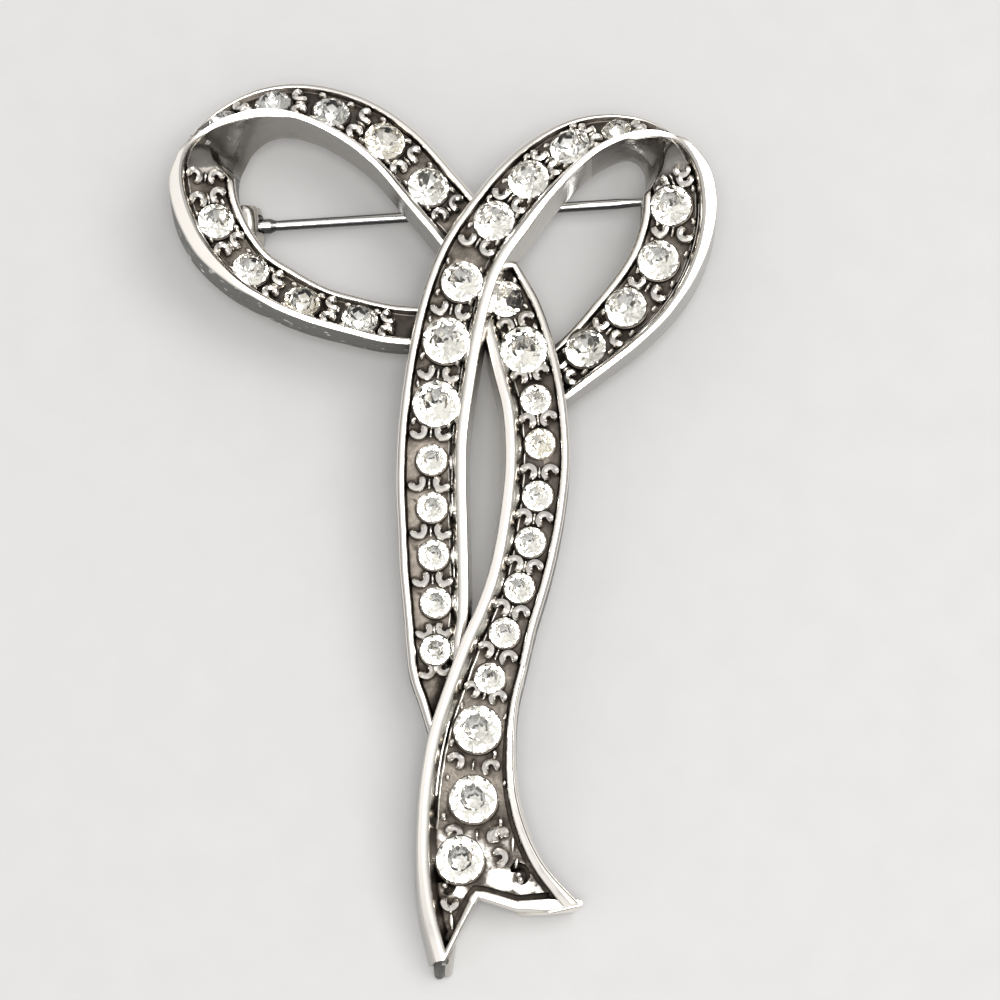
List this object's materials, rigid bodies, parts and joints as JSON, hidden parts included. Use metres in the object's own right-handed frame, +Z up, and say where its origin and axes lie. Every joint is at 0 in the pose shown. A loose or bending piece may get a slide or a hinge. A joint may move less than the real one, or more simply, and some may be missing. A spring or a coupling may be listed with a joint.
{
  "type": "bow brooch",
  "caption": "Open bow brooch: two crossing cast ribbons set with clear cut stones, a forked tail, and a hinged pin behind the loops that closes into a catch.",
  "frame": {"origin": "on the surface that the brooch lies on, under the middle of its outline", "axes": "+X along the width of the bow, +Y from the tail towards the loops, +Z up out of the stones"},
  "size_m": [0.0394, 0.0644, 0.01],
  "materials": {
    "cast_metal": "bright plated white metal, polished on the rims and darkened in the channels",
    "back_metal": "plain plated white metal, slightly dull",
    "pin_steel": "drawn wire, smooth",
    "clear_stone": "clear cut glass over silver foil"
  },
  "bodies": {
    "root": {"ribbon": "cast_metal", "hinge_bracket": "back_metal", "hinge_rivet": "pin_steel", "catch": "back_metal", "stone_01": "clear_stone", "stone_02": "clear_stone", "stone_03": "clear_stone", "stone_04": "clear_stone", "stone_05": "clear_stone", "stone_06": "clear_stone", "stone_07": "clear_stone", "stone_08": "clear_stone", "stone_09": "clear_stone", "stone_10": "clear_stone", "stone_11": "clear_stone", "stone_12": "clear_stone", "stone_13": "clear_stone", "stone_14": "clear_stone", "stone_15": "clear_stone", "stone_16": "clear_stone", "stone_17": "clear_stone", "stone_18": "clear_stone", "stone_19": "clear_stone", "stone_20": "clear_stone", "stone_21": "clear_stone", "stone_22": "clear_stone", "stone_23": "clear_stone", "stone_24": "clear_stone", "stone_25": "clear_stone", "stone_26": "clear_stone", "stone_27": "clear_stone", "stone_28": "clear_stone", "stone_29": "clear_stone", "stone_30": "clear_stone", "stone_31": "clear_stone", "stone_32": "clear_stone", "stone_33": "clear_stone", "stone_34": "clear_stone", "stone_35": "clear_stone", "stone_36": "clear_stone", "stone_37": "clear_stone"},
    "pin": {"pin_stem": "pin_steel"}
  },
  "joints": [
    {"name": "pin_swing", "type": "hinge", "parent": "root", "child": "pin", "pos_m": [-0.01435, 0.02239, 0.0017], "axis": [-0.0663, 0.9978, 0], "range_deg": [0, 85]}
  ]
}
